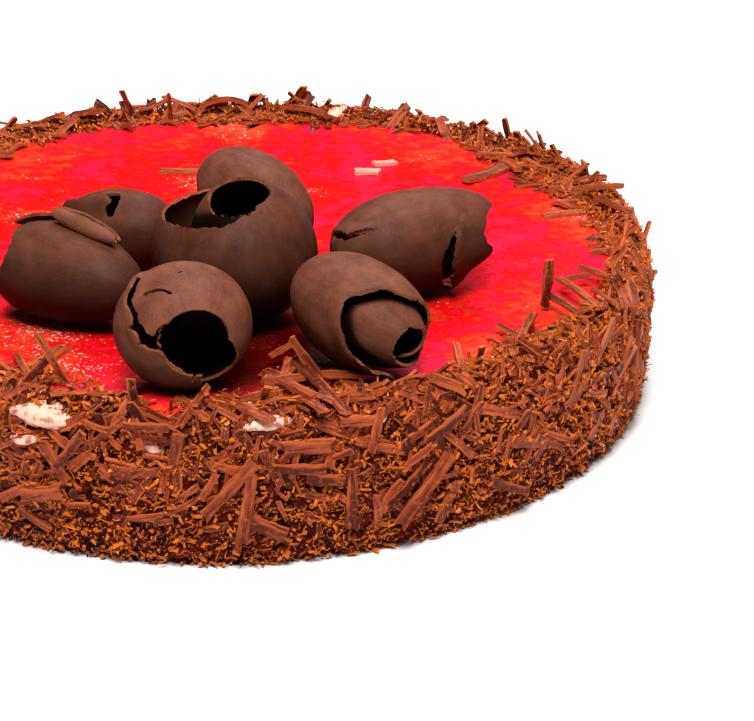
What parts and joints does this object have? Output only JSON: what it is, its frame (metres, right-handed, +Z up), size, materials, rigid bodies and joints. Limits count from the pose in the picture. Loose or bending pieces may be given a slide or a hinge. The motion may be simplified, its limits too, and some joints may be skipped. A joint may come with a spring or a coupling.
{
  "type": "chocolate strawberry cake",
  "caption": "Low round chocolate cake with a red strawberry jelly top, a side and rim coated in chocolate flakes, and a rosette of rolled chocolate curls.",
  "frame": {"origin": "middle of the cake's foot, on the surface it stands on", "axes": "+Z up through the middle of the cake, -Y towards the viewer of the picture"},
  "size_m": [0.2436, 0.2428, 0.0757],
  "materials": {
    "chocolate_flakes": "matt milk chocolate flakes",
    "cream": "soft whipped cream",
    "strawberry_jelly": "wet set jelly",
    "chocolate_curl": "satin shaved chocolate"
  },
  "bodies": {
    "root": {"cake_body": "chocolate_flakes", "cream": "cream", "jelly": "strawberry_jelly", "curl_far_left": "chocolate_curl", "curl_back_left": "chocolate_curl", "curl_back": "chocolate_curl", "curl_centre": "chocolate_curl", "curl_front": "chocolate_curl", "curl_front_right": "chocolate_curl", "curl_right": "chocolate_curl"}
  },
  "joints": []
}
